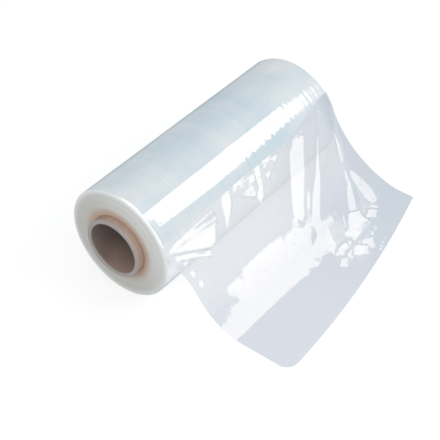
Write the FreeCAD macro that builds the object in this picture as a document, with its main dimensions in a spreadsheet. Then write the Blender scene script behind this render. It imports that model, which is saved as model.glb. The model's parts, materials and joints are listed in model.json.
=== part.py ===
"""A roll of clear stretch film on a paper core, lying on its side with its free end drawn off.

The origin is the middle of the core's bore and +Y runs along the bore. The free end leaves the
roll towards +X, slopes down to the table and lies flat on it. The table is level with the small
flat that the roll's own weight makes. All sizes are in millimetres and all angles in degrees.
"""
import FreeCAD, Part

import math
import os

import Sketcher
from FreeCAD import Vector

OUT = "parts"

# Each driving size: its name, its value and what it is.
SIZES = (
    ("film_width", 250.0, "width of the film web"),
    ("roll_radius", 53.5, "outer radius of the wound film"),
    ("rim_radius", 2.5, "rounding of the wound film's two rims"),
    ("band_step", 0.5, "how far every other band of turns stands back at the ends"),
    ("flat_depth", 0.3, "how far the roll's own weight flattens it"),
    ("bore_radius", 25.0, "bore of the paper core"),
    ("core_wall", 3.75, "wall of the paper core"),
    ("core_overhang", 8.0, "how far the core stands out of the film at each end"),
    ("core_bevel", 0.6, "crushed corner of the core's cut ends"),
    ("film_thickness", 0.4, "thickness of the drawn-off film"),
    ("leave_angle", 25.0, "where the film leaves the roll, above the +X side"),
    ("drawn_length", 165.0, "length of the drawn-off film at its near corner"),
    ("end_skew", 36.0, "how much shorter the film is at its far corner"),
    ("corner_radius", 12.0, "rounding of the film's near corner"),
    ("side_drift", 15.5, "how far the film is pulled along +Y"),
    ("drift_run", 75.0, "length of film over which it is pulled along"),
    ("fold_height", 6.0, "height of the tallest fold"),
    ("fold_start", 14.0, "length of film beside the roll that the folds rise over"),
)

# Bands of turns that show at the ends of the wound film, an even number.
BANDS = 6

# Facets that each rim is rounded with.
RIM_FACETS = 3

# How fast the film's slope eases towards the table, how fast its free end falls back towards +Y
# and how closely its rounded corner stays to the near edge.
SLOPE_EASING = 3
SKEW_EASING = 1.8
CORNER_EASING = 6

# Rows and columns of facets in the drawn-off film, and steps that its length is added up in.
ROWS = 28
COLUMNS = 44
STEPS = 60

# The folds in the drawn-off film, one line each: where its ridge starts and ends, as distance
# from the roll and place along Y, its half width, and its share of the fold height.
FOLDS = (
    ((18, 60), (76, 30), 15, 1.0),
    ((18, 92), (82, 46), 12, 0.8),
    ((18, 117), (72, 107), 12, 0.8),
    ((66, 116), (108, 110), 12, 0.6),
    ((74, 104), (124, 44), 13, 0.8),
    ((112, 94), (134, 50), 13, 0.6),
    ((10, 34), (36, -2), 13, 0.6),
    ((10, -38), (34, -56), 12, 0.6),
    ((10, -104), (38, -74), 15, 0.8),
    ((68, -64), (92, -18), 14, 0.4),
    ((70, 4), (106, 26), 14, 0.5),
)


def size_sheet(doc):
    """The spreadsheet of driving sizes, one named cell each."""
    sheet = doc.addObject("Spreadsheet::Sheet", "sizes")
    for row, (name, value, meaning) in enumerate(SIZES, start=1):
        sheet.set(f"A{row}", meaning)
        sheet.set(f"B{row}", str(value))
        sheet.setAlias(f"B{row}", name)
    doc.recompute()
    return sheet


def outline(body, role, corners):
    """A closed outline of straight lines on one of the body's own planes.

    Each corner is a pair of expressions of the driving sizes, and both are bound to them.
    """
    sketch = body.newObject("Sketcher::SketchObject", f"{body.Name}_outline")
    plane = next(feature for feature in body.Origin.OriginFeatures if feature.Role == role)
    sketch.AttachmentSupport = [(plane, "")]
    sketch.MapMode = "FlatFace"
    places = [Vector(*(sketch.evalExpression(text) for text in corner), 0) for corner in corners]
    count = len(corners)
    for i in range(count):
        sketch.addGeometry(Part.LineSegment(places[i], places[(i + 1) % count]), False)
    for i in range(count):
        sketch.addConstraint(Sketcher.Constraint("Coincident", i, 2, (i + 1) % count, 1))
    for i, corner in enumerate(corners):
        for kind, place, text in zip(("DistanceX", "DistanceY"), places[i], corner):
            number = sketch.addConstraint(Sketcher.Constraint(kind, -1, 1, i, 1, place))
            sketch.setExpression(f"Constraints[{number}]", text)
    sketch.Visibility = False
    return sketch


def turned(doc, name, half):
    """A body turned about the Y axis, from the outline of its +Y half."""
    other_half = [(across, f"-({along})") for across, along in reversed(half)]
    body = doc.addObject("PartDesign::Body", name)
    sketch = outline(body, "XY_Plane", half + other_half)
    turn = body.newObject("PartDesign::Revolution", f"{name}_turned")
    turn.Profile = sketch
    turn.ReferenceAxis = (sketch, ["V_Axis"])
    turn.Angle = 360
    return body


def cardboard_core(doc):
    """The spiral-wound paper tube, which stands out of the film at both ends."""
    inside = "sizes.bore_radius"
    outside = f"{inside} + sizes.core_wall"
    end = "sizes.film_width / 2 + sizes.core_overhang"
    bevel = "sizes.core_bevel"
    half = [
        (inside, f"{end} - {bevel}"),
        (f"{inside} + {bevel}", end),
        (f"{outside} - {bevel}", end),
        (outside, f"{end} - {bevel}"),
    ]
    return turned(doc, "cardboard_core", half)


def wound_film(doc):
    """All the turns on the core: banded ends, rounded rims and the flat that it rests on."""
    inside = "(sizes.bore_radius + sizes.core_wall)"
    rim = "(sizes.roll_radius - sizes.rim_radius)"
    end = "sizes.film_width / 2"
    half = [
        (f"{inside} + ({rim} - {inside}) * {band / BANDS}", f"{end} - sizes.band_step * {band % 2}")
        for band in range(BANDS + 1)
    ]
    for facet_number in range(1, RIM_FACETS + 1):
        turn = math.radians(90 * facet_number / RIM_FACETS)
        half.append((
            f"{rim} + sizes.rim_radius * {math.sin(turn)}",
            f"{end} - sizes.rim_radius * {1 - math.cos(turn)}",
        ))
    body = turned(doc, "wound_film", half)
    rest_flat(body)
    return body


def rest_flat(body):
    """Cuts away the sliver of the roll below the table, from end to end."""
    side = "sizes.roll_radius"
    top = "sizes.flat_depth - sizes.roll_radius"
    bottom = f"-2 * {side}"
    corners = [(f"-{side}", bottom), (side, bottom), (side, top), (f"-{side}", top)]
    flat_outline = outline(body, "XZ_Plane", corners)
    flat = body.newObject("PartDesign::Pocket", f"{body.Name}_flat")
    flat.Profile = flat_outline
    flat.Midplane = True
    flat.setExpression("Length", "sizes.film_width + 2 * sizes.core_overhang")


def smooth(share):
    """Rises gently from 0 to 1 and stays there."""
    share = min(max(share, 0.0), 1.0)
    return share * share * (3 - 2 * share)


class DrawnFilm:
    """The shape of the film that hangs from the roll and lies on the table."""

    def __init__(self, sheet):
        self.sheet = sheet
        angle = math.radians(sheet.leave_angle)
        self.start = Vector(sheet.roll_radius * math.cos(angle), 0, sheet.roll_radius * math.sin(angle))
        self.first_slope = math.pi / 2 - angle
        fall = self.start.z + sheet.roll_radius - sheet.flat_depth
        middles = [(step + 0.5) / STEPS for step in range(STEPS)]
        self.landing = fall * STEPS / sum(math.sin(self.slope_at(share)) for share in middles)

    def slope_at(self, share):
        """The slope at a share of the way down to the table."""
        return self.first_slope * (1 - min(share, 1.0) ** SLOPE_EASING)

    def line(self, distance):
        """The point of the film's underside and its slope, at a distance from the roll."""
        hanging = min(distance, self.landing)
        step = hanging / STEPS
        point = Vector(self.start)
        for number in range(STEPS):
            slope = self.slope_at((number + 0.5) * step / self.landing)
            point += Vector(math.cos(slope), 0, -math.sin(slope)) * step
        point.x += distance - hanging
        return point, self.slope_at(distance / self.landing)

    def length_at(self, across):
        """The film's length at a share of its width, from the near edge."""
        return self.sheet.drawn_length - self.sheet.end_skew * across ** SKEW_EASING

    def corner_inset(self, distance):
        """How far the rounded corner draws in the near edge."""
        radius = self.sheet.corner_radius
        past = min(max(distance + radius - self.sheet.drawn_length, 0.0), radius)
        return radius - math.sqrt(radius ** 2 - past ** 2)

    def place_along(self, distance, across):
        """The place along Y, with the pull that draws the whole web to one side."""
        drift = self.sheet.side_drift * smooth(distance / self.sheet.drift_run)
        inset = self.corner_inset(distance) * (1 - across) ** CORNER_EASING
        return self.sheet.film_width * (across - 0.5) + drift + inset

    def lift(self, distance, along):
        """How far the folds lift the film off its smooth shape: the tallest fold counts."""
        here = Vector(distance, along, 0)
        tallest = 0.0
        for start, end, half_width, share in FOLDS:
            first = Vector(*start, 0)
            run = Vector(*end, 0) - first
            part = min(max((here - first).dot(run) / run.dot(run), 0.0), 1.0)
            reach = (here - first - run * part).Length / half_width
            tallest = max(tallest, share * (1 - smooth(reach)))
        return self.sheet.fold_height * tallest * smooth(distance / self.sheet.fold_start)

    def point(self, down, across, height):
        """A point of the film at a share of its length and width, and a height above it."""
        distance = down * self.length_at(across)
        along = self.place_along(distance, across)
        point, slope = self.line(distance)
        point += Vector(math.sin(slope), 0, math.cos(slope)) * (height + self.lift(distance, along))
        point.y = along
        return point

    def corners(self, height):
        """The corners of the film's facets at a height above its underside, row by row."""
        return [
            [self.point(row / ROWS, column / COLUMNS, height) for column in range(COLUMNS + 1)]
            for row in range(ROWS + 1)
        ]


def facet(*corners):
    """A flat face through its corners."""
    return Part.Face(Part.makePolygon([*corners, corners[0]]))


def creased(corners):
    """Flat triangles, two for each four corners side by side, with the shorter crease between."""
    for row, next_row in zip(corners, corners[1:]):
        for i in range(len(row) - 1):
            first, second, third, fourth = row[i], row[i + 1], next_row[i + 1], next_row[i]
            if (third - first).Length < (fourth - second).Length:
                yield facet(first, second, third)
                yield facet(first, third, fourth)
            else:
                yield facet(first, second, fourth)
                yield facet(second, third, fourth)


def border(corners):
    """The corners all the way round, starting and ending in the same one."""
    right = [row[-1] for row in corners]
    left = [row[0] for row in reversed(corners)]
    return corners[0] + right[1:] + corners[-1][-2::-1] + left[1:]


def loose_film(doc, sheet):
    """The free end of the web: it leaves the roll, slopes to the table and lies on it."""
    film = DrawnFilm(sheet)
    under = film.corners(0)
    top = film.corners(sheet.film_thickness)
    faces = [*creased(under), *creased(top), *creased([border(under), border(top)])]
    shell = Part.makeShell(faces)
    shell.sewShape()
    piece = doc.addObject("Part::Feature", "loose_film")
    piece.Shape = Part.makeSolid(shell).removeSplitter()
    piece.Placement = FreeCAD.Placement()
    return piece


def export(doc, pieces):
    """Checks every object of the document and writes one file for each piece."""
    doc.recompute()
    failed = [item.Name for item in doc.Objects if {"Invalid", "Error"} & set(item.State)]
    failed += [item.Name for item in pieces if item.Shape.isNull() or not item.Shape.isValid()]
    if failed:
        raise RuntimeError(f"not built: {failed}")
    os.makedirs(OUT, exist_ok=True)
    for piece in pieces:
        piece.Shape.exportStep(os.path.join(OUT, f"{piece.Label}.step"))
        print(piece.Label, len(piece.Shape.Solids), round(piece.Shape.Volume, 3))


def main():
    doc = FreeCAD.newDocument("stretch_film_roll")
    sheet = size_sheet(doc)
    export(doc, [cardboard_core(doc), wound_film(doc), loose_film(doc, sheet)])


main()
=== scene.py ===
"""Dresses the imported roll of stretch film: the wound film, the film drawn off it and its core."""
import json
import math
import random

import bpy
import numpy as np
from bpy.props import FloatProperty, FloatVectorProperty, IntProperty, PointerProperty
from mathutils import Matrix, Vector


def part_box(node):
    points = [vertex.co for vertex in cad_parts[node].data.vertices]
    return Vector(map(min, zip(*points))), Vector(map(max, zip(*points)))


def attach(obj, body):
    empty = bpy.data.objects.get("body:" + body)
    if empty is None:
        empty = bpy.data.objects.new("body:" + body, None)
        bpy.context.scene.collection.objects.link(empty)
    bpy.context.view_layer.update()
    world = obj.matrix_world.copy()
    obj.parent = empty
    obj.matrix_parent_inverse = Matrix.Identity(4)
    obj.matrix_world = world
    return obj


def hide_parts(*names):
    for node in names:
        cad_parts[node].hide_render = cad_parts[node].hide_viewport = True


bl_info = {
    "name": "Stretch film roll",
    "version": (1, 0, 0),
    "blender": (4, 5, 0),
    "location": "View3D > Sidebar > Film roll",
    "description": "Makes a roll of clear stretch film with its free end drawn off",
    "category": "Object",
}

MM = 0.001

# How far the drawn film stays off the roll and the table.
CLEARANCE = 0.2 * MM

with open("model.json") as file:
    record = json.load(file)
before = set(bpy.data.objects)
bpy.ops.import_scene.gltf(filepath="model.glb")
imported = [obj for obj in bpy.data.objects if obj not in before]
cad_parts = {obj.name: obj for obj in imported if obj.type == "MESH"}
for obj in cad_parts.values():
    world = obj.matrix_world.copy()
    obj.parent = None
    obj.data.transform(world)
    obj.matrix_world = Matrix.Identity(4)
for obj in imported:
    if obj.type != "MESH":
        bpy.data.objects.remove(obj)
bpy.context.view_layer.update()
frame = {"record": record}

FILM_LOW, FILM_HIGH = (np.array(corner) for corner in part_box("wound_film"))
CORE_HIGH = np.array(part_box("cardboard_core")[1])
ROLL_RADIUS = float(FILM_HIGH[2])
FILM_WIDTH = float(FILM_HIGH[1] - FILM_LOW[1])
TABLE = float(FILM_LOW[2])
CORE_RADIUS = float(CORE_HIGH[2])
CORE_END = float(CORE_HIGH[1])
BORE = next(mount for mount in frame["record"]["mounts"] if mount["name"] == "core_bore")
BORE_RADIUS = BORE["dims"]["r_mm"] * MM


def smooth(share):
    """Rises gently from 0 to 1 and stays there, for arrays too."""
    share = np.clip(share, 0.0, 1.0)
    return share * share * (3 - 2 * share)


def mix(first, second, share):
    """What lies at a share of the way from the first value to the second."""
    return first + (second - first) * share


def length_prop(name, description, default):
    return FloatProperty(name=name, description=description, default=default, unit="LENGTH", precision=5)


def colour_prop(name, description, default):
    return FloatVectorProperty(
        name=name, description=description, default=default, subtype="COLOR", size=3, min=0, max=1
    )


class WoundFilmSizes(bpy.types.PropertyGroup):
    """Sizes and colours of the film that is wound on the core."""

    rim: length_prop("Rim", "Rounding of the two rims", 2.2 * MM)
    ripple: length_prop("Ripple", "Height of the ripples round the roll", 0.06 * MM)
    turn_step: length_prop("Turn step", "Unevenness of the turns at the ends", 0.12 * MM)
    columns: IntProperty(name="Columns", description="Facets round the roll", default=168, min=24)
    film: colour_prop("Film", "Colour of the wound film", (0.60, 0.715, 0.785))
    film_warm: colour_prop("Film, warmer", "Second tone of the wound film", (0.79, 0.825, 0.84))
    # Painted light: the lighter colour and faint glow painted on the roll's shaded underside.
    painted_under_light: colour_prop("Film, under", "Colour of the shaded side, lit through", (0.85, 0.885, 0.905))
    end_face: colour_prop("End face", "Colour of the turns at the ends", (0.68, 0.675, 0.63))
    # Painted light: the lighter colour painted on the ends' rims and on their lit upper +X side.
    painted_end_light: colour_prop("End rim", "Colour of the outermost turns at the ends", (0.88, 0.90, 0.89))
    end_glow: colour_prop("End glow", "Paper core's colour through the turns", (0.62, 0.44, 0.33))


class DrawnFilmSizes(bpy.types.PropertyGroup):
    """Sizes and colours of the film that is drawn off the roll."""

    leave_angle: FloatProperty(
        name="Leave angle", description="Where the film leaves the roll, above the +X side",
        default=math.radians(25), subtype="ANGLE",
    )
    length: length_prop("Length", "Length at the near corner", 162.1 * MM)
    end_skew: length_prop("End skew", "How much shorter it is at the far corner", 36 * MM)
    corner: length_prop("Corner", "Rounding of the near corner", 12 * MM)
    drift: length_prop("Drift", "How far it is pulled along +Y", 15.5 * MM)
    drift_run: length_prop("Drift run", "Length over which it is pulled along", 110 * MM)
    facet: length_prop("Facet", "Size of the mesh's facets", 0.9 * MM)
    tint: colour_prop("Tint", "What one layer lets through at the near side", (0.64, 0.673, 0.738))
    tint_far: colour_prop("Tint, far", "What one layer lets through at the far side", (0.56, 0.615, 0.68))
    haze: colour_prop("Haze", "Colour of the film's haze", (0.93, 0.94, 0.95))
    haze_far: colour_prop("Haze, far", "Colour of the film's haze at the far side", (0.60, 0.64, 0.72))


class CoreSizes(bpy.types.PropertyGroup):
    """Sizes and colours of the paper core."""

    bevel: length_prop("Bevel", "Crushed corner of the cut ends", 0.4 * MM)
    seam_pitch: length_prop("Seam pitch", "Distance between two turns of the spiral seam", 92 * MM)
    paper: colour_prop("Paper", "Colour of the brown paper", (0.47, 0.34, 0.28))
    # Painted shade: the dark colour that the bore is painted towards, deep inside and on its -X wall.
    painted_bore_shade: colour_prop("Painted bore shade", "Colour of the paper deep inside", (0.11, 0.12, 0.135))
    fray: length_prop("Fray", "How far the innermost ply comes away at the ends", 1.3 * MM)
    cut: colour_prop("Cut", "Colour of the cut ends", (0.50, 0.475, 0.46))


class StageSizes(bpy.types.PropertyGroup):
    """The camera, the lights and the table."""

    camera_place: FloatVectorProperty(
        name="Camera", description="Place of the camera", subtype="TRANSLATION",
        default=(0.53343, -0.6605, 0.70175),
    )
    camera_aim: FloatVectorProperty(
        name="Aim", description="Point that the camera looks at", subtype="TRANSLATION",
        default=(0.0253, -0.0173, -0.0341),
    )
    lens: FloatProperty(name="Lens", description="Focal length in millimetres", default=98.2, min=10)
    table_white: FloatProperty(
        name="Table white", description="How white the table looks by itself", default=0.70, min=0, max=1
    )
    table_matt: colour_prop("Table", "Colour of the table's matt surface", (0.38, 0.38, 0.38))
    sky: colour_prop("Sky", "Colour of the even light from all round", (0.97, 0.985, 1.0))
    sky_light: FloatProperty(name="Sky light", description="Strength of the even light", default=0.72, min=0)


class Value:
    """A shader socket that Python's operators work on: each operation adds its Math node."""

    def __init__(self, finish, socket):
        self.finish = finish
        self.socket = socket

    def maths(self, operation, *others):
        inputs = dict(enumerate((self, *others)))
        return self.finish.node("ShaderNodeMath", {"operation": operation}, inputs)

    def __add__(self, other):
        return self.maths("ADD", other)

    def __sub__(self, other):
        return self.maths("SUBTRACT", other)

    def __mul__(self, other):
        return self.maths("MULTIPLY", other)

    def __pow__(self, other):
        return self.maths("POWER", other)

    def __neg__(self):
        return self.maths("MULTIPLY", -1.0)

    def __rsub__(self, other):
        return -self + other

    __radd__ = __add__
    __rmul__ = __mul__

    def clamped(self):
        """The value, held between 0 and 1."""
        return self.maths("MAXIMUM", 0.0).maths("MINIMUM", 1.0)


# The Mix node has a socket of the same name for each kind of data, so its colours go by number.
MIX_SHARE, MIX_FIRST, MIX_SECOND = 0, 6, 7
MIX_COLOUR = 2


class Finish:
    """The nodes of a material or of the world, built by method calls."""

    def __init__(self, owner):
        self.owner = owner
        owner.use_nodes = True
        self.tree = owner.node_tree
        self.tree.nodes.clear()

    def node(self, kind, settings=None, inputs=None, output=0):
        """Adds any node: its settings first, then its sockets' values and links."""
        made = self.tree.nodes.new(kind)
        for name, value in (settings or {}).items():
            setattr(made, name, value)
        for key, value in (inputs or {}).items():
            if isinstance(value, Value):
                self.tree.links.new(value.socket, made.inputs[key])
            else:
                made.inputs[key].default_value = value
        if isinstance(output, tuple):
            return [Value(self, made.outputs[name]) for name in output]
        return Value(self, made.outputs[output]) if made.outputs else None

    def place(self):
        """The place on the piece, in metres."""
        return self.node("ShaderNodeTexCoord", output="Object")

    def axes(self, place):
        """The three numbers of a vector."""
        return self.node("ShaderNodeSeparateXYZ", inputs={0: place}, output=("X", "Y", "Z"))

    def stretched(self, place, scale):
        """The place with each axis scaled by itself, which stretches a pattern."""
        return self.node("ShaderNodeVectorMath", {"operation": "MULTIPLY"}, {0: place, 1: scale})

    def noise(self, place, scale, detail=2.0, roughness=0.5):
        return self.node(
            "ShaderNodeTexNoise",
            inputs={"Vector": place, "Scale": scale, "Detail": detail, "Roughness": roughness},
        )

    def blend(self, share, first, second):
        """Mixes two colours."""
        first, second = (part if isinstance(part, Value) else (*part, 1.0) for part in (first, second))
        inputs = {MIX_SHARE: share, MIX_FIRST: first, MIX_SECOND: second}
        return self.node("ShaderNodeMix", {"data_type": "RGBA"}, inputs, MIX_COLOUR)

    def mix_shaders(self, share, first, second):
        return self.node("ShaderNodeMixShader", inputs={0: share, 1: first, 2: second})

    def steps(self, value, low, high):
        """How far a value has come from low to high, smoothly."""
        return self.node(
            "ShaderNodeMapRange", {"interpolation_type": "SMOOTHSTEP"},
            {"Value": value, "From Min": low, "From Max": high},
        )

    def bump(self, height, distance, strength=1.0):
        return self.node(
            "ShaderNodeBump", inputs={"Strength": strength, "Distance": distance, "Height": height}
        )

    def principled(self, **inputs):
        inputs = {name.replace("_", " "): value for name, value in inputs.items()}
        return self.node("ShaderNodeBsdfPrincipled", inputs=inputs)

    def gloss(self, colour, roughness, normal):
        inputs = {"Color": (*colour, 1.0), "Roughness": roughness, "Normal": normal}
        return self.node("ShaderNodeBsdfGlossy", inputs=inputs)

    def finished(self, surface, kind="ShaderNodeOutputMaterial"):
        """Sets what the light meets, and gives back the material or world."""
        self.node(kind, inputs={"Surface": surface})
        return self.owner


def add_piece(name, points, faces, material, node):
    """A smooth-shaded piece that rides on the part and stands for one of its nodes."""
    mesh = bpy.data.meshes.new(name)
    mesh.from_pydata([tuple(point) for point in points], [], [tuple(face) for face in faces])
    mesh.validate()
    mesh.polygons.foreach_set("use_smooth", [True] * len(mesh.polygons))
    mesh.materials.append(material)
    piece = bpy.data.objects.new(name, mesh)
    bpy.context.scene.collection.objects.link(piece)
    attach(piece, "root")
    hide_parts(node)
    return piece


def grid_faces(rows, columns, close_rows=False, close_columns=False):
    """The faces of a grid of points, joined end to end where it closes."""
    number = np.arange(rows * columns).reshape(rows, columns)
    if close_rows:
        number = np.vstack([number, number[:1]])
    if close_columns:
        number = np.hstack([number, number[:, :1]])
    corners = (number[:-1, :-1], number[:-1, 1:], number[1:, 1:], number[1:, :-1])
    return np.stack([corner.ravel() for corner in corners], axis=1)


def turned_points(radius, along, columns):
    """Points turned about the Y axis: radius and along have one row for each ring."""
    turn = np.linspace(0, 2 * math.pi, columns, endpoint=False)
    across = radius * np.cos(turn)
    up = radius * np.sin(turn)
    return np.stack([across, along + 0 * up, up], axis=2)


# The tone along the roll: a pattern's share of it, and then what centres it, spreads it and sets
# its middle.
RING_SHARE, BAND_SHARE, CLOUD_SHARE = 0.6, 0.45, 1.3
TONE_CENTRE, TONE_SPREAD, TONE_MIDDLE = 1.175, 1.9, 0.42

# The gloss of the roll: how much more of it there is where the roll faces the viewer, the least
# that there is, how much of it the ends lack, and the colour and share of the dark gloss at grazing angles,
# painted shade along the roll's outline.
FACING_GLOSS = 0.11
LEAST_GLOSS = 0.04
END_LACKS = 0.6
PAINTED_EDGE_SHADE = (0.30, 0.36, 0.40)
EDGE_SHADE_SHARE = 0.75


def paint_wound_film(sizes):
    """Milky clear film: pale blue along the roll, warmer at the ends where the core glows through, with
    painted light on the ends and the underside and painted shade along the outline.
    """
    finish = Finish(bpy.data.materials.new("wound_film_finish"))
    place = finish.place()
    x, y, z = finish.axes(place)
    radius = (x * x + z * z) ** 0.5
    rings = finish.noise(finish.stretched(place, (9, 330, 9)), scale=1, detail=4, roughness=0.7)
    bands = finish.noise(finish.stretched(place, (3, 45, 3)), scale=1)
    clouds = finish.noise(finish.stretched(place, (26, 14, 26)), scale=1, detail=3, roughness=0.6)
    patterns = rings * RING_SHARE + bands * BAND_SHARE + clouds * CLOUD_SHARE
    tone = ((patterns - TONE_CENTRE) * TONE_SPREAD + TONE_MIDDLE).clamped()
    side = finish.blend(tone, tuple(sizes.film), tuple(sizes.film_warm))
    outward = finish.steps(radius, CORE_RADIUS, CORE_RADIUS + 11 * MM)
    # Painted light: each end face is painted lighter at its rim, for light coming through the outer turns,
    # and towards its upper +X side, where the light falls.
    rim = finish.steps(radius, ROLL_RADIUS - 7 * MM, ROLL_RADIUS - 1 * MM)
    end = finish.blend(outward, tuple(sizes.end_glow), tuple(sizes.end_face))
    lit = finish.steps(x + z * 0.8, -10 * MM, 60 * MM) * (1 - rim)
    end = finish.blend(rim + lit * outward * 0.7, end, tuple(sizes.painted_end_light))
    at_end = finish.steps(y.maths("ABSOLUTE"), FILM_WIDTH / 2 - 2.2 * MM, FILM_WIDTH / 2 - 0.6 * MM)
    colour = finish.blend(at_end, side, end)
    # Painted light: the shaded underside is painted lighter and given a faint glow, for light that comes
    # through the roll from the table.
    shaded = finish.steps(z, 16 * MM, -8 * MM) * (1 - at_end)
    colour = finish.blend(shaded, colour, tuple(sizes.painted_under_light))
    painted_under_glow = finish.blend(shaded * finish.steps(x, -10 * MM, 15 * MM), (0, 0, 0), tuple(sizes.painted_under_light))
    turns = finish.noise(finish.stretched(place, (0, 1, 0)), scale=900)
    normal = finish.bump(turns, distance=0.02 * MM, strength=0.35)
    matt = finish.principled(
        Base_Color=colour, Roughness=0.5, Specular_IOR_Level=0.0, Normal=normal,
        Emission_Color=painted_under_glow, Emission_Strength=0.16,
    )
    rough = at_end * 0.3 + finish.steps(y, 30 * MM, 110 * MM) * 0.08 + 0.06
    grazing = finish.node("ShaderNodeLayerWeight", inputs={"Blend": 0.35, "Normal": normal}, output="Facing")
    share = ((1 - grazing) * FACING_GLOSS + LEAST_GLOSS) * (1 - at_end * END_LACKS)
    both = finish.mix_shaders(share, matt, finish.gloss((1, 1, 1), rough, normal))
    # Painted shade: a dark gloss mixed in at grazing angles darkens the roll's outline.
    deep = finish.gloss(PAINTED_EDGE_SHADE, 0.2, normal)
    return finish.finished(finish.mix_shaders(finish.steps(grazing, 0.58, 1.0) * EDGE_SHADE_SHARE, both, deep))


# How the ends of the wound film are built, in millimetres: the distance between two rings, the
# pitch and depth of the bands that the turns gather in, and how the steps fade into the rim.
END_RING = 0.55
END_BAND = 7.4
END_BAND_DEPTH = 0.16
RIM_FADE = (0.6, 0.3, 0.1)

# How the side is built: the distance between two rings in millimetres, the facets of a rim, and
# the ripples, with their number, the range of their pitch in millimetres, the share of their
# height that the near end has, and the stretch over which they reach their full height.
SIDE_RING = 1.0
RIM_FACETS = 6
RIPPLES = 9
RIPPLE_PITCH = (3.2, 11.0)
NEAR_RIPPLE = 0.35
RIPPLE_START = -90 * MM
RIPPLE_RISE = 0.6 * FILM_WIDTH


def wound_film_points(sizes):
    """Rings from the core out over one end, along the roll and back in over the other end."""
    draw = random.Random(11)
    half = FILM_WIDTH / 2
    rim_centre = ROLL_RADIUS - sizes.rim
    end_radii = np.arange(CORE_RADIUS, rim_centre, END_RING * MM)
    end_steps = np.array([draw.uniform(0, 1) for _ in end_radii]) * sizes.turn_step
    bands = 0.5 - 0.5 * np.cos(2 * math.pi * (end_radii - CORE_RADIUS) / (END_BAND * MM))
    end_depth = end_steps + bands * END_BAND_DEPTH * MM
    end_depth[-len(RIM_FADE):] *= RIM_FADE
    turns = np.linspace(0, math.pi / 2, RIM_FACETS + 1)
    rim_radii = rim_centre + sizes.rim * np.sin(turns)
    rim_along = half - sizes.rim * (1 - np.cos(turns))
    side_along = np.arange(half - sizes.rim - SIDE_RING * MM, 0, -SIDE_RING * MM)
    radii = np.concatenate([end_radii, rim_radii, np.full(len(side_along), ROLL_RADIUS)])
    along = np.concatenate([half - end_depth, rim_along, side_along])
    radii = np.concatenate([radii, radii[::-1]])
    along = np.concatenate([along, -along[::-1]])
    turn = np.linspace(0, 2 * math.pi, sizes.columns, endpoint=False)
    ripple = np.zeros((len(radii), sizes.columns))
    for _ in range(RIPPLES):
        pitch = draw.uniform(*RIPPLE_PITCH) * MM
        start = draw.uniform(0, 2 * math.pi)
        lean = draw.choice((-1, 0, 0, 1))
        ripple += np.cos(2 * math.pi * along[:, None] / pitch + start + lean * turn[None, :])
    on_side = smooth((radii - rim_centre) / sizes.rim)[:, None]
    strength = mix(NEAR_RIPPLE, 1.0, smooth((along - RIPPLE_START) / RIPPLE_RISE))[:, None]
    radius = radii[:, None] + (2 * ripple / RIPPLES - 1) * sizes.ripple * on_side * strength
    points = turned_points(radius, along[:, None], sizes.columns)
    points[..., 2] = np.maximum(points[..., 2], TABLE)
    return points


class FILMROLL_OT_wind_film(bpy.types.Operator):
    """Winds the film on the core"""

    bl_idname = "film_roll.wind_film"
    bl_label = "Wind the film"

    def execute(self, context):
        sizes = context.scene.wound_film_sizes
        points = wound_film_points(sizes)
        rows, columns = points.shape[:2]
        faces = grid_faces(rows, columns, close_rows=True, close_columns=True)
        material = paint_wound_film(sizes)
        add_piece("wound_film_turns", points.reshape(-1, 3), faces, material, "wound_film")
        return {"FINISHED"}


# The film's slope eases towards the table, its free end falls back towards +Y, and the rounding
# of its corner stays near its edge. Its fall is added up in steps.
SLOPE_EASING = 1.8
LANDING_EASING = 0.75
SKEW_EASING = 1.8
CORNER_EASING = 12
FALL_STEPS = 200

# What the near edge has of the sideways pull: its share of the way and of the run.
NEAR_DRIFT = 0.82
NEAR_RUN = 0.45

# Two stretches of the roll over which the film starts higher, in millimetres: how much higher,
# where the stretch starts along Y, and how long it is.
START_RISES = ((3, -125, 100), (13, 42, 85))

# A width that stands for none, so that a pleat can be divided by it.
NO_WIDTH = 0.001 * MM

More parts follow.
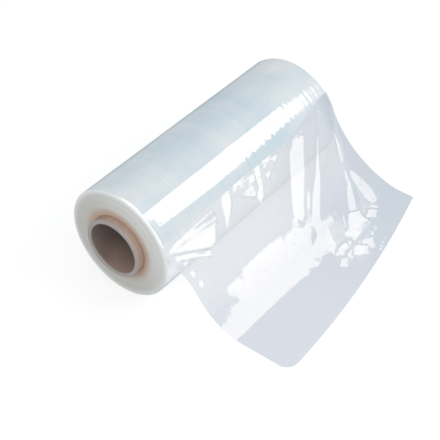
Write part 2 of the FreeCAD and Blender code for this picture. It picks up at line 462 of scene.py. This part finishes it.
# The pleats of the drawn film, by distance from the roll: the tilt of the near flank, and then
# at each distance the place of the crest along Y and the width of its near and its far flank,
# in millimetres.
PLEATS = (
    (0.30, ((0, 73, 14, 4), (8, 69, 18, 5), (15, 65, 17.5, 6), (32, 56.8, 17.5, 7), (47, 46.3, 15.5, 7),
            (60, 37, 14, 6), (64.5, 34, 11, 4), (67.5, 32, 6, 3), (70, 31, 0, 0))),
    (0.30, ((62, 20, 1, 3), (64, 21, 2.5, 9), (67, 22, 3.5, 10), (70, 24, 3, 8), (73, 27, 0, 0))),
    (0.18, ((20, 75, 4, 2), (32, 71, 6, 2), (50, 58, 7, 2), (64, 45.5, 6, 2), (72, 39, 0, 0))),
    (0.30, ((-6, 106, 2, 3), (3, 98, 2, 4), (18, 92, 3, 6), (26, 87.5, 3.5, 9), (42, 77.9, 6, 16),
            (57, 65, 8, 34), (71, 51.5, 8.5, 48), (79, 43, 8, 50), (92, 42, 8, 50), (105, 36.5, 8, 50),
            (114, 31.5, 6, 40), (119, 29, 0, 0))),
    (0.30, ((77, 31, 1, 3), (80, 29, 3.5, 11), (85, 22.5, 4.2, 13), (88.5, 20.5, 3.6, 10), (92, 19, 0, 0))),
    (0.35, ((-12, 120, 1, 2), (0, 119, 1.2, 2), (20, 116.6, 2.2, 3), (36, 116.4, 4.4, 4),
            (49, 112, 3.8, 3), (53, 110, 2, 2), (60, 107.5, 1.6, 2), (69, 104.5, 1.8, 3), (72, 103, 0, 0))),
    (0.28, ((64, 114, 2, 3), (69, 116, 6, 4), (83.6, 119, 9.5, 5), (93, 117.5, 10.5, 5), (101, 114, 9, 4),
            (104, 112, 0, 0))),
    (0.20, ((67, 106, 1, 3), (70, 104.8, 2.4, 4), (77, 100.8, 6, 6), (86.6, 94, 10, 7), (95, 87, 13, 6),
            (99, 84, 8, 4), (102, 81, 0, 0))),
    (0.26, ((-1, -36, 9, 3), (8, -37, 10, 3), (18, -43, 6, 3), (28, -51.5, 0, 0))),
    (0.26, ((-2, 8, 6, 3), (6, 7, 9, 3), (16, 5, 9, 3), (26, 1, 6, 2), (31, -3, 0, 0))),
)

# Flat facets between the pleats: tilt along Y, the corners (distance, along) and the width of
# the crease round it, in millimetres.
FACETS = (
    (0.13, ((6, -62), (27, -73), (28.5, -79), (9, -120), (6, -104)), 2.5),
    (0.12, ((13, -115), (18, -105), (32, -79), (35, -82), (19, -114)), 2.0),
    (0.30, ((23, -109), (27, -108), (28, -105), (24, -105)), 1.0),
    (0.30, ((35, -107), (39, -105), (40, -102), (36, -104)), 1.0),
    (0.30, ((48, -104), (51, -103), (51, -100), (48, -101)), 1.0),
    (0.15, ((-4, -26), (7, -30), (14, -18), (21, -10), (14, -3), (-4, -2)), 2.0),
    (0.21, ((-5, 14), (-5, 33), (3, 33), (12, 19), (17, 13)), 2.0),
    (0.25, ((93, 73), (97, 83), (107, 82), (118, 77), (126, 66), (121, 54), (108, 53), (102, 60)), 1.8),
    (0.28, ((109, 51), (122, 52.5), (129.5, 58), (133.5, 49), (127, 41), (114, 45)), 2.0),
    (0.28, ((102.5, 93), (108, 100), (112, 98), (117, 89), (109, 84)), 1.6),
    (0.28, ((108, 83), (117.5, 88), (123, 79), (115, 74)), 1.6),
    (0.28, ((115, 73), (123, 78), (128, 69), (121, 63)), 1.6),
    (0.28, ((121, 62), (128, 68), (133, 57), (127, 53)), 1.6),
    (0.26, ((110, 40), (121, 42), (126, 36), (120, 27), (112, 30)), 1.6),
    (0.26, ((118, 26), (125, 32), (129, 24), (122, 19)), 1.6),
)

# The facets' outlines are wavy from this distance on, after a short run.
WAVY_FROM = 80 * MM
WAVY_RUN = 15 * MM

# Crushed parts, where the film is folded into small teeth: tilt of the teeth along Y, their
# pitch, and the corners (distance, along), in millimetres. A tooth rises over most of its pitch.
CRUSHED = (
    (0.26, 4.5, ((114, 96), (117, 99), (130, 86), (142, 62), (138, 58), (128, 76))),
    (0.24, 3.4, ((118, 118), (122, 119), (124, 113), (120, 111))),
    (0.24, 3.4, ((126, 100), (129, 103), (137, 99), (135, 95))),
)
TOOTH_RISE = 0.8
TOOTH_CREASE = 2.0

# The crumpling: small flat facets in all directions, made of this many folded waves, with the
# range of their pitch in millimetres. All of the film has a little of it. Parts have more: how
# much, the middle (distance, along) and the reach both ways, in millimetres.
CRUMPLE_WAVES = 14
CRUMPLE_PITCH = (9, 30)
CRUMPLE_EVERYWHERE = 0.008
CRUMPLED = (
    (0.2, (118, 60), (18, 26)),
    (0.4, (104, 106), (5, 6)),
    (0.16, (76, -40), (9, 60)),
    (0.16, (104, 8), (7, 20)),
    (0.22, (3, 0), (4, 200)),
    (0.07, (45, -116), (40, 10)),
)

# Two sets of crumples add up, a coarse and a fine one.
COARSE_CRUMPLE = 1.2
FINE_CRUMPLE = 0.4

# The near edge hangs down between two distances from the roll, below this place along Y. How much
# it curves down, by the metre.
DIP_EDGE = -62 * MM
DIP_START, DIP_RISE = 50 * MM, 20 * MM
DIP_END, DIP_FALL = 102 * MM, 14 * MM
DIP_CURVE = 0.45

# The folds rise from nothing over this distance past the line where the film leaves the roll.
LIFT_OFF = 3 * MM


class DrawnFilm:
    """The shape of the film that hangs from the roll and lies on the table."""

    def __init__(self, sizes):
        self.sizes = sizes
        self.first_slope = math.pi / 2 - sizes.leave_angle
        self.start_x = ROLL_RADIUS * math.cos(sizes.leave_angle)
        self.start_z = ROLL_RADIUS * math.sin(sizes.leave_angle)
        slopes = self.slope_at((np.arange(FALL_STEPS) + 0.5) / FALL_STEPS)
        self.landing = (self.start_z - TABLE) / np.mean(np.sin(slopes))
        self.steps = np.linspace(0, 1, FALL_STEPS + 1)
        self.fall_x = np.concatenate([[0], np.cumsum(np.cos(slopes))]) * self.landing / FALL_STEPS
        self.fall_z = np.concatenate([[0], np.cumsum(np.sin(slopes))]) * self.landing / FALL_STEPS

    def slope_at(self, share):
        """The slope at a share of the way down to the table."""
        return self.first_slope * (1 - np.minimum(share, 1.0) ** SLOPE_EASING) ** LANDING_EASING

    def line(self, distance):
        """The smooth film's place across and up, and its slope. Negative distances lie on the roll."""
        share = np.clip(distance / self.landing, 0.0, 1.0)
        x = self.start_x + np.interp(share, self.steps, self.fall_x) + np.maximum(distance - self.landing, 0)
        z = self.start_z - np.interp(share, self.steps, self.fall_z)
        turn = self.sizes.leave_angle - np.minimum(distance, 0) / ROLL_RADIUS
        on_roll = distance < 0
        radius = ROLL_RADIUS + CLEARANCE * smooth(-distance / MM)
        x = np.where(on_roll, radius * np.cos(turn), x)
        z = np.where(on_roll, radius * np.sin(turn), z)
        return x, z, np.where(on_roll, math.pi / 2 - turn, self.slope_at(share))

    def start(self, across):
        """Where the film leaves the turns under it: higher on the roll at the far end."""
        along = FILM_WIDTH * (across - 0.5)
        return -sum(rise * MM * smooth((along / MM - low) / run) for rise, low, run in START_RISES)

    def place_along(self, distance, across):
        """The place along Y, with the pull to one side and the rounded near corner."""
        sizes = self.sizes
        run = sizes.drift_run * mix(NEAR_RUN, 1.0, across)
        drift = sizes.drift * mix(NEAR_DRIFT, 1.0, across) * smooth(distance / run)
        past = np.clip(distance + sizes.corner - sizes.length, 0, sizes.corner)
        inset = (sizes.corner - np.sqrt(sizes.corner ** 2 - past ** 2)) * (1 - across) ** CORNER_EASING
        return FILM_WIDTH * (across - 0.5) + drift + inset

    def pleats(self, distance, along):
        """How far the pleats lift the film off its smooth shape."""
        height = np.zeros_like(distance)
        for tilt, stations in PLEATS:
            where, crest, near, far = (np.array(column) * MM for column in zip(*stations))
            crest_at = np.interp(distance, where, crest)
            near_at = np.interp(distance, where, near, left=0, right=0)
            far_at = np.interp(distance, where, far, left=0, right=0)
            off = along - crest_at
            near_share = 1 + off / np.maximum(near_at, NO_WIDTH)
            far_share = 1 - off / np.maximum(far_at, NO_WIDTH)
            share = np.clip(np.minimum(near_share, far_share), 0, 1)
            height = np.maximum(height, share * tilt * near_at)
        return height

    @staticmethod
    def inside(distance, along, corners, crease):
        """1 inside a convex outline, and down to 0 over the crease round it, in millimetres."""
        places = np.array(corners) * MM
        middle = places.mean(axis=0)
        depth = np.full_like(distance, np.inf)
        for first, second in zip(places, np.roll(places, -1, axis=0)):
            edge = (second - first) / np.linalg.norm(second - first)
            inward = np.array((edge[1], -edge[0]))
            inward = inward * np.sign((middle - first) @ inward)
            past_edge = (distance - first[0]) * inward[0] + (along - first[1]) * inward[1]
            depth = np.minimum(depth, past_edge)
        return smooth(1 + depth / (crease * MM))

    def facets(self, distance, along):
        """How far the flat facets lift the film. Their outlines are slightly wavy."""
        height = np.zeros_like(distance)
        wavy = smooth((distance - WAVY_FROM) / WAVY_RUN) * MM
        down_waves = np.sin(along / (2.3 * MM)) * np.sin(along / (5.9 * MM) + 1)
        distance = distance + 1.7 * wavy * down_waves
        side_waves = np.sin(distance / (2.7 * MM)) + np.sin(distance / (6.3 * MM))
        along = along + 1.5 * wavy * side_waves
        for tilt, corners, crease in FACETS:
            foot = min(corner[1] for corner in corners) * MM
            rise = tilt * (along - foot)
            height = np.maximum(height, rise * self.inside(distance, along, corners, crease))
        return height

    def crushed(self, distance, along):
        """How far the teeth of the crushed parts lift the film."""
        height = np.zeros_like(distance)
        shift = 0.4 * np.sin(distance / (4.9 * MM)) + 0.5 * np.sin((distance - 1.3 * along) / (7.1 * MM))
        stretch = 1 + 0.10 * np.sin(along / (4.3 * MM))
        for tilt, pitch, corners in CRUSHED:
            tooth = (along / (pitch * MM) + shift + stretch) % 1
            rise = np.minimum(tooth / TOOTH_RISE, (1 - tooth) / (1 - TOOTH_RISE))
            rise = rise * tilt * TOOTH_RISE * pitch * MM
            height = np.maximum(height, rise * self.inside(distance, along, corners, TOOTH_CREASE))
        return height

    def dip(self, distance, along):
        """How far the near edge hangs below the smooth shape, before it reaches the table."""
        out = np.maximum(DIP_EDGE - along, 0)
        begun = smooth((distance - DIP_START) / DIP_RISE)
        before_end = smooth((DIP_END - distance) / DIP_FALL)
        return DIP_CURVE * out ** 2 * begun * before_end

    def crumple(self, distance, along):
        """Small flat facets in all directions, strongest in the crushed parts."""
        draw = random.Random(5)
        total = np.zeros_like(distance)
        for _ in range(CRUMPLE_WAVES):
            turn = draw.uniform(0, math.pi)
            pitch = draw.uniform(*CRUMPLE_PITCH) * MM
            start = draw.uniform(0, 1)
            wave = (distance * math.sin(turn) + along * math.cos(turn)) / pitch + start
            total += np.abs(wave % 1 - 0.5) * pitch * draw.uniform(0.4, 1.0)
        total = (total - np.min(total)) / CRUMPLE_WAVES
        more = sum(share * self.patch(distance, along, *place) for share, *place in CRUMPLED)
        return total * (CRUMPLE_EVERYWHERE + np.minimum(more, 1))

    @staticmethod
    def patch(distance, along, middle, reach):
        """A soft round patch, from 1 in its middle to 0, given in millimetres."""
        off_down = (distance / MM - middle[0]) / reach[0]
        off_along = (along / MM - middle[1]) / reach[1]
        return np.exp(-off_down ** 2 - off_along ** 2)

    def points(self):
        """The film's points, row by row from the roll to the cut end."""
        sizes = self.sizes
        columns = int(FILM_WIDTH / sizes.facet) + 1
        rows = int(sizes.length / sizes.facet) + 1
        across = np.linspace(0, 1, columns)[None, :]
        down = np.linspace(0, 1, rows)[:, None]
        start = self.start(across)
        distance = start + down * (sizes.length - sizes.end_skew * across ** SKEW_EASING - start)
        across = across + 0 * distance
        along = self.place_along(distance, across)
        height = self.pleats(distance, along) + self.facets(distance, along) + self.crushed(distance, along)
        height = height + COARSE_CRUMPLE * self.crumple(distance, along) - self.dip(distance, along)
        height = height + FINE_CRUMPLE * self.crumple(1.7 * (distance - start), 1.3 * along + start)
        height = softened(height) * smooth((distance - start) / LIFT_OFF)
        x, z, slope = self.line(distance)
        points = np.stack([x + np.sin(slope) * height, along, z + np.cos(slope) * height], axis=2)
        points[..., 2] = np.maximum(points[..., 2], TABLE + CLEARANCE)
        return points


def softened(height, rounds=2):
    """A height field with its sharp creases slightly rounded."""
    for _ in range(rounds):
        wide = np.pad(height, 1, mode="edge")
        height = (
            4 * wide[1:-1, 1:-1] + wide[:-2, 1:-1] + wide[2:, 1:-1] + wide[1:-1, :-2] + wide[1:-1, 2:]
        ) / 8
    return height


# How strongly the film bends light, and how much more than one clean layer it mirrors.
FILM_IOR = 1.5
FILM_GLOSS = 1.9

# How hazy the film is, and how much more or less where it lies on the table, is crushed, or hangs
# gathered beside the roll.
HAZE = 0.58
HAZE_LOW = -0.52
HAZE_CRUSHED = 0.26
HAZE_GATHERED = 0.1


def paint_drawn_film(sizes):
    """One layer of clear film: tinted, with sharp reflections, and hazy where it is gathered."""
    finish = Finish(bpy.data.materials.new("drawn_film_finish"))
    place = finish.place()
    x, y, _ = finish.axes(place)
    crushed = finish.steps(x, 100 * MM, 112 * MM) * finish.steps(y, 20 * MM, 44 * MM)
    crushed = crushed * finish.steps(x + y * 0.6, 182 * MM, 168 * MM)
    wrinkles = finish.noise(place, scale=160, detail=3)
    fine = finish.noise(place, scale=420, detail=3, roughness=0.6)
    specks = finish.steps(finish.noise(place, scale=330, detail=1), 0.68, 0.72)
    normal = finish.bump(wrinkles + fine * crushed * 0.9 + specks * 2.5, distance=0.4 * MM, strength=0.25)
    near = finish.node("ShaderNodeBsdfTransparent", inputs={"Color": (*sizes.tint, 1.0)})
    far = finish.node("ShaderNodeBsdfTransparent", inputs={"Color": (*sizes.tint_far, 1.0)})
    clear = finish.mix_shaders(finish.steps(y, -60 * MM, 110 * MM), near, far)
    white_haze = finish.node("ShaderNodeBsdfDiffuse", inputs={"Color": (*sizes.haze, 1.0)})
    blue_haze = finish.node("ShaderNodeBsdfDiffuse", inputs={"Color": (*sizes.haze_far, 1.0)})
    blueness = finish.steps(y, 0, 70 * MM) * 0.35 + finish.steps(y, 104 * MM, 122 * MM) * 0.5
    haze = finish.mix_shaders(blueness, white_haze, blue_haze)
    low = finish.steps(x, 66 * MM, 108 * MM)
    gathered = finish.steps(x, 60 * MM, 51 * MM) * finish.steps(y, 120 * MM, 90 * MM)
    hazy = low * HAZE_LOW + crushed * HAZE_CRUSHED + gathered * HAZE_GATHERED + HAZE
    body = finish.mix_shaders(hazy, clear, haze)
    gloss = finish.gloss((1, 1, 1), crushed * 0.13 + 0.06, normal)
    behind = finish.node("ShaderNodeNewGeometry", output="Backfacing")
    bending = behind * (1 / FILM_IOR - FILM_IOR) + FILM_IOR
    share = finish.node("ShaderNodeFresnel", inputs={"IOR": bending, "Normal": normal})
    return finish.finished(finish.mix_shaders((share * FILM_GLOSS).clamped(), body, gloss))


class FILMROLL_OT_draw_film(bpy.types.Operator):
    """Draws the free end of the film off the roll"""

    bl_idname = "film_roll.draw_film"
    bl_label = "Draw the film off"

    def execute(self, context):
        sizes = context.scene.drawn_film_sizes
        film = DrawnFilm(sizes)
        points = film.points()
        rows, columns = points.shape[:2]
        faces = grid_faces(rows, columns)[:, ::-1]
        material = paint_drawn_film(sizes)
        piece = add_piece("drawn_film", points.reshape(-1, 3), faces, material, "loose_film")
        # A single clear layer darkens the table far less than its haze would.
        piece.visible_shadow = False
        piece.visible_diffuse = False
        lengths = sizes.length - sizes.end_skew * film.steps ** SKEW_EASING - film.start(film.steps)
        return {"FINISHED"}


# How much darker and lighter than its colour the paper gets, and how much darker the cut plies.
PAPER_DARK, PAPER_LIGHT = 0.7, 1.25
CUT_DARK = 0.8


def paint_core(sizes):
    """Brown paper with painted shade, darker deep inside the bore and on its -X wall, and greyer on the cut
    ends where the plies show.
    """
    finish = Finish(bpy.data.materials.new("paper_core_finish"))
    place = finish.place()
    x, y, _ = finish.axes(place)
    fibres = finish.noise(finish.stretched(place, (1, 0.35, 1)), scale=900, detail=4, roughness=0.7)
    clouds = finish.noise(place, scale=60)
    plies = finish.node(
        "ShaderNodeTexWave", {"wave_type": "RINGS", "rings_direction": "Y"},
        {"Vector": place, "Scale": 210.0, "Distortion": 0.6, "Detail": 2.0},
    )
    tone = (fibres * 0.5 + clouds * 0.5).clamped()
    dark = tuple(PAPER_DARK * part for part in sizes.paper)
    light = tuple(min(PAPER_LIGHT * part, 1) for part in sizes.paper)
    paper = finish.blend(tone, dark, light)
    cut_dark = tuple(CUT_DARK * part for part in sizes.cut)
    cut = finish.blend((plies * 0.6 + tone * 0.4).clamped(), cut_dark, tuple(sizes.cut))
    from_middle = y.maths("ABSOLUTE")
    at_end = finish.steps(from_middle, CORE_END - 0.9 * MM, CORE_END - 0.4 * MM)
    # Painted shade: the bore is painted darker deep inside and towards its -X wall, where little light
    # reaches.
    depth = finish.steps(from_middle, CORE_END - 12 * MM, CORE_END - 75 * MM)
    painted_side_shade = finish.steps(x, -4 * MM, -23 * MM)
    paper = finish.blend((depth * 0.85 + painted_side_shade * 0.42).clamped(), paper, tuple(sizes.painted_bore_shade))
    colour = finish.blend(at_end, paper, cut)
    normal = finish.bump(fibres + plies * at_end * 0.5, distance=0.2 * MM, strength=0.5)
    return finish.finished(finish.principled(Base_Color=colour, Roughness=0.78, Normal=normal))


# Facets round the core, rings along half of its bore and of its outside, and steps over its wall.
CORE_COLUMNS = 120
BORE_RINGS = 70
OUTSIDE_RINGS = 24
WALL_STEPS = 6

# The spiral seam's groove: its depth, and how far it reaches to each side.
SEAM_DEPTH = 0.35 * MM
SEAM_REACH = 1.6 * MM

# The frayed ply: its middle round the bore, how far it reaches each way, how deep in the bore it
# starts, and over what length it comes away.
FRAY_MIDDLE = math.radians(232)
FRAY_REACH = math.radians(42)
FRAY_DEPTH = 7 * MM
FRAY_RUN = 6.2 * MM


def core_rings(sizes):
    """The radius and place along Y of each ring: the bore, a cut end, the outside, and so back."""
    half, bevel = CORE_END, sizes.bevel
    outer, inner = CORE_RADIUS, BORE_RADIUS
    bore = [(inner, y) for y in np.linspace(0, half - bevel, BORE_RINGS, endpoint=False)]
    end = (
        [(inner, half - bevel), (inner + 0.3 * bevel, half - 0.25 * bevel), (inner + bevel, half)]
        + [(mix(inner + bevel, outer - bevel, step / WALL_STEPS), half) for step in range(1, WALL_STEPS)]
        + [(outer - bevel, half), (outer - 0.3 * bevel, half - 0.25 * bevel), (outer, half - bevel)]
    )
    outside = [(outer, y) for y in np.linspace(half - bevel, 0, OUTSIDE_RINGS)[1:]]
    upper = np.array(bore + end + outside)
    return np.vstack([upper, upper[::-1] * (1, -1)])


def core_points(sizes):
    """The core's rings, with the groove of the seam and the ply that comes away."""
    rings = core_rings(sizes)
    turn = np.linspace(0, 2 * math.pi, CORE_COLUMNS, endpoint=False)
    radius = np.repeat(rings[:, :1], CORE_COLUMNS, axis=1)
    along = np.repeat(rings[:, 1:], CORE_COLUMNS, axis=1)
    on_bore = (rings[:, 0] < BORE_RADIUS + 0.01 * MM)[:, None]
    seam = np.abs((along / sizes.seam_pitch - turn / (2 * math.pi)) % 1 - 0.5)
    groove = SEAM_DEPTH * (1 - smooth(seam * sizes.seam_pitch / SEAM_REACH))
    radius = radius + groove * on_bore
    low_side = smooth(1 - np.abs(turn - FRAY_MIDDLE) / FRAY_REACH)
    ragged = 0.75 + 0.35 * np.sin(23 * turn) * np.sin(9 * turn + 1) + 0.15 * np.sin(61 * turn)
    on_ply = rings[:, :1] < BORE_RADIUS + 0.6 * sizes.bevel
    near_end = smooth((np.abs(along) - CORE_END + FRAY_DEPTH) / FRAY_RUN) * on_ply
    radius = radius - sizes.fray * low_side * ragged * near_end
    return turned_points(radius, along, CORE_COLUMNS)


class FILMROLL_OT_roll_core(bpy.types.Operator):
    """Makes the paper core"""

    bl_idname = "film_roll.roll_core"
    bl_label = "Roll the core"

    def execute(self, context):
        sizes = context.scene.core_sizes
        points = core_points(sizes)
        rows, columns = points.shape[:2]
        faces = grid_faces(rows, columns, close_rows=True, close_columns=True)
        material = paint_core(sizes)
        add_piece("paper_core", points.reshape(-1, 3), faces, material, "cardboard_core")
        return {"FINISHED"}


# The soft lamps: name, middle, point they face, width along Y, height, and radiance.
SOFT_LAMPS = (
    ("key_lamp", (0.75, 0.35, 0.8), (0.05, 0.0, 0.0), 0.6, 0.6, 2.4),
    ("side_lamp", (0.95, -0.15, 0.12), (0.05, 0.0, 0.0), 0.5, 0.35, 2.6),
    ("front_lamp", (0.1, -1.2, 0.5), (0.05, 0.0, 0.0), 0.8, 0.8, 1.2),
)

# The white, slightly warm panels that the film mirrors: name, radiance, and corners in
# millimetres. They show in gloss alone, so that they don't brighten the colours.
PANELS = (
    (
        "main_panel", 3.5,
        (
            (80, -42, 170), (470, 215, 284), (640, 420, 334), (735, 545, 362),
            (290, 405, 231), (187, 285, 201), (118, 226, 181), (80, 190, 170),
        ),
    ),
    (
        "far_panel", 3.5,
        (
            (178, 325, 300), (205, 335, 300), (250, 380, 300), (305, 415, 300),
            (295, 445, 300), (225, 405, 300), (182, 362, 300),
        ),
    ),
    ("side_panel", 3.9, ((800, -250, -40), (800, 300, -40), (800, 300, 650), (800, -250, 650))),
    ("over_panel", 3.7, ((800, -250, 650), (800, 290, 650), (-500, 530, 1100), (-500, -300, 1100))),
)

PANEL_COLOUR = (1.0, 0.90, 0.79, 1.0)
TABLE_WIDTH = 12
SENSOR_WIDTH = 36


def facing(place, aim):
    """The rotation of a lamp or camera that looks from its place towards another point."""
    return (Vector(aim) - Vector(place)).to_track_quat("-Z", "Y").to_euler()


def add_soft_lamp(name, middle, aim, width, height, radiance):
    """A rectangular lamp that lights the object and doesn't show in its gloss."""
    light = bpy.data.lights.new(name, "AREA")
    light.shape = "RECTANGLE"
    light.size = width
    light.size_y = height
    light.energy = radiance * math.pi * width * height
    lamp = bpy.data.objects.new(name, light)
    bpy.context.scene.collection.objects.link(lamp)
    lamp.location = middle
    lamp.rotation_euler = facing(middle, aim)
    lamp.visible_camera = False
    lamp.visible_glossy = False


def add_panel(name, radiance, corners):
    """A glowing panel that only gloss shows."""
    points = [tuple(part * MM for part in corner) for corner in corners]
    mesh = bpy.data.meshes.new(name)
    mesh.from_pydata(points, [], [range(len(points))])
    finish = Finish(bpy.data.materials.new(name + "_finish"))
    light = finish.node("ShaderNodeEmission", inputs={"Color": PANEL_COLOUR, "Strength": radiance})
    mesh.materials.append(finish.finished(light))
    panel = bpy.data.objects.new(name, mesh)
    bpy.context.scene.collection.objects.link(panel)
    panel.visible_camera = False
    panel.visible_diffuse = False
    panel.visible_shadow = False
    panel.visible_transmission = False


def seen_directly(finish):
    """1 where a camera, mirror or glass ray meets the surface, else 0."""
    kinds = ("Is Camera Ray", "Is Glossy Ray", "Is Transmission Ray")
    camera, mirror, glass = finish.node("ShaderNodeLightPath", output=kinds)
    return (camera + mirror + glass).clamped()


def paint_table(stage):
    """A matt table that looks nearly white by itself and keeps a faint shadow."""
    finish = Finish(bpy.data.materials.new("table_finish"))
    matt = finish.node("ShaderNodeBsdfDiffuse", inputs={"Color": (*stage.table_matt, 1.0)})
    strength = seen_directly(finish) * stage.table_white
    white = finish.node("ShaderNodeEmission", inputs={"Color": (1, 1, 1, 1), "Strength": strength})
    return finish.finished(finish.node("ShaderNodeAddShader", inputs={0: matt, 1: white}))


def paint_world(stage):
    """White behind the object, and a cool even light from all round."""
    finish = Finish(bpy.data.worlds.new("studio"))
    white = finish.node("ShaderNodeBackground", inputs={"Strength": 1.0})
    inputs = {"Color": (*stage.sky, 1.0), "Strength": stage.sky_light}
    light = finish.node("ShaderNodeBackground", inputs=inputs)
    camera = finish.node("ShaderNodeLightPath", output="Is Camera Ray")
    return finish.finished(finish.mix_shaders(camera, light, white), "ShaderNodeOutputWorld")


class FILMROLL_OT_set_stage(bpy.types.Operator):
    """Sets up the table, the lights and the camera"""

    bl_idname = "film_roll.set_stage"
    bl_label = "Set the stage"

    def execute(self, context):
        stage = context.scene.stage_sizes
        bpy.ops.mesh.primitive_plane_add(size=TABLE_WIDTH, location=(0, 0, TABLE))
        table = context.object
        table.name = "table"
        table.data.materials.append(paint_table(stage))
        for lamp in SOFT_LAMPS:
            add_soft_lamp(*lamp)
        for panel in PANELS:
            add_panel(*panel)
        context.scene.world = paint_world(stage)
        camera = bpy.data.objects.new("camera", bpy.data.cameras.new("camera"))
        context.scene.collection.objects.link(camera)
        camera.data.lens = stage.lens
        camera.data.sensor_width = SENSOR_WIDTH
        camera.location = stage.camera_place
        camera.rotation_euler = facing(stage.camera_place, stage.camera_aim)
        context.scene.camera = camera
        context.scene.view_settings.view_transform = "Standard"
        return {"FINISHED"}


class FILMROLL_PT_panel(bpy.types.Panel):
    """Lists the steps that make the roll"""

    bl_idname = "FILMROLL_PT_panel"
    bl_label = "Film roll"
    bl_space_type = "VIEW_3D"
    bl_region_type = "UI"
    bl_category = "Film roll"

    def draw(self, context):
        for step in STEPS:
            self.layout.operator(step.bl_idname)


STEPS = (FILMROLL_OT_set_stage, FILMROLL_OT_roll_core, FILMROLL_OT_wind_film, FILMROLL_OT_draw_film)
SIZE_GROUPS = {
    "wound_film_sizes": WoundFilmSizes,
    "drawn_film_sizes": DrawnFilmSizes,
    "core_sizes": CoreSizes,
    "stage_sizes": StageSizes,
}
CLASSES = (*SIZE_GROUPS.values(), *STEPS, FILMROLL_PT_panel)


def register():
    for each in CLASSES:
        bpy.utils.register_class(each)
    for name, group in SIZE_GROUPS.items():
        setattr(bpy.types.Scene, name, PointerProperty(type=group))


def unregister():
    for name in SIZE_GROUPS:
        delattr(bpy.types.Scene, name)
    for each in reversed(CLASSES):
        bpy.utils.unregister_class(each)


def main():
    """Makes the stage and the roll."""
    register()
    bpy.ops.film_roll.set_stage()
    bpy.ops.film_roll.roll_core()
    bpy.ops.film_roll.wind_film()
    bpy.ops.film_roll.draw_film()


if __name__ == "__main__":
    main()
